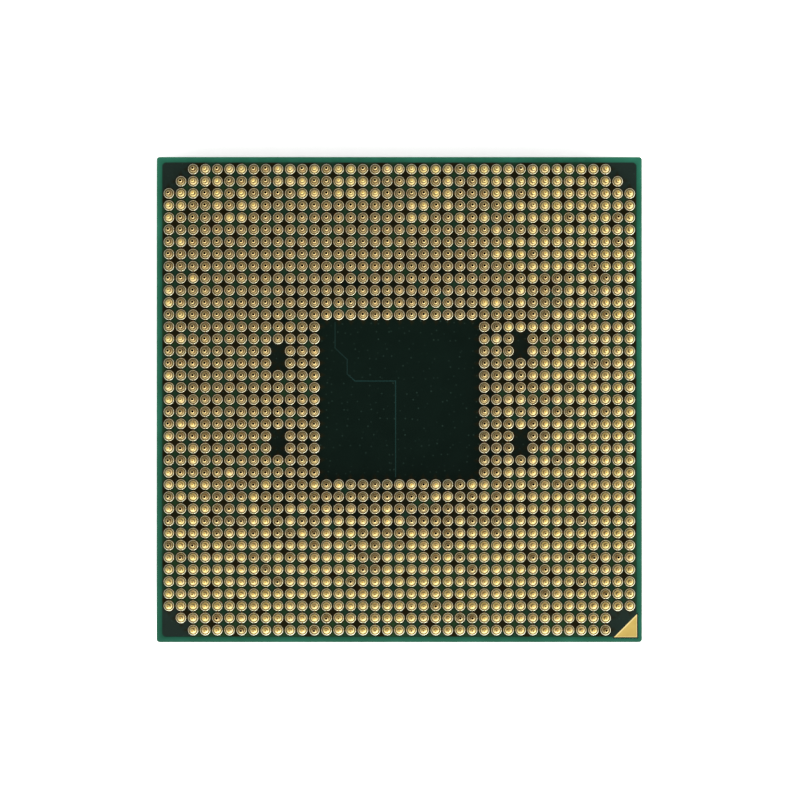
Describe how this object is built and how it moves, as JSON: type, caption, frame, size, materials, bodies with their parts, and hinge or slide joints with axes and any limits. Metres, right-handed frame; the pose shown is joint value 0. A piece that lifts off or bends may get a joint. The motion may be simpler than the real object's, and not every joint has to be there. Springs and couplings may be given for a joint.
{
  "type": "desktop processor in a pin-grid package",
  "caption": "Square laminate processor package with a grid of gold pins on one face, an empty window in the middle and a stepped metal lid on the other.",
  "frame": {"origin": "middle of the lid's outer face, which the part rests on", "axes": "+Z points the way the pins point, +X and +Y along the package's sides, with the gold corner mark at +X, -Y"},
  "size_m": [0.04, 0.04, 0.0063],
  "materials": {
    "gold_pin": "gold plated, satin",
    "tin_solder": "satin",
    "solder_mask": "semi-gloss",
    "masked_copper": "copper seen through green mask",
    "gold_mark": "gold plated, satin",
    "laminate": "matt, cut edge",
    "inner_copper": "matt",
    "silicon": "polished",
    "underfill": "satin",
    "thermal_solder": "satin",
    "capacitor_ceramic": "satin",
    "tin_plate": "satin",
    "nickel_lid": "nickel plated, fine brushed",
    "adhesive": "matt"
  },
  "bodies": {
    "root": {"pins_corner": "gold_pin", "pins_north": "gold_pin", "pins_south": "gold_pin", "pins_west": "gold_pin", "pins_east": "gold_pin", "solder_north": "tin_solder", "solder_south": "tin_solder", "solder_west": "tin_solder", "solder_east": "tin_solder", "pin_side_mask": "solder_mask", "lid_side_mask": "solder_mask", "edge_copper_ring": "masked_copper", "pin_field_copper": "masked_copper", "window_trace": "masked_copper", "corner_mark": "gold_mark", "lid_side_mark": "gold_mark", "pin_side_buildup": "laminate", "laminate_core": "laminate", "lid_side_buildup": "laminate", "pin_side_plane": "inner_copper", "lid_side_plane": "inner_copper", "lid_side_copper": "inner_copper", "io_die": "silicon", "io_die_bumps": "tin_solder", "io_die_underfill": "underfill", "io_die_thermal_solder": "thermal_solder", "upper_die": "silicon", "upper_die_bumps": "tin_solder", "upper_die_underfill": "underfill", "upper_die_thermal_solder": "thermal_solder", "lower_die": "silicon", "lower_die_bumps": "tin_solder", "lower_die_underfill": "underfill", "lower_die_thermal_solder": "thermal_solder", "capacitor_bodies": "capacitor_ceramic", "capacitor_ends": "tin_plate", "capacitor_solder": "tin_solder", "lid": "nickel_lid", "lid_adhesive": "adhesive"}
  },
  "joints": []
}
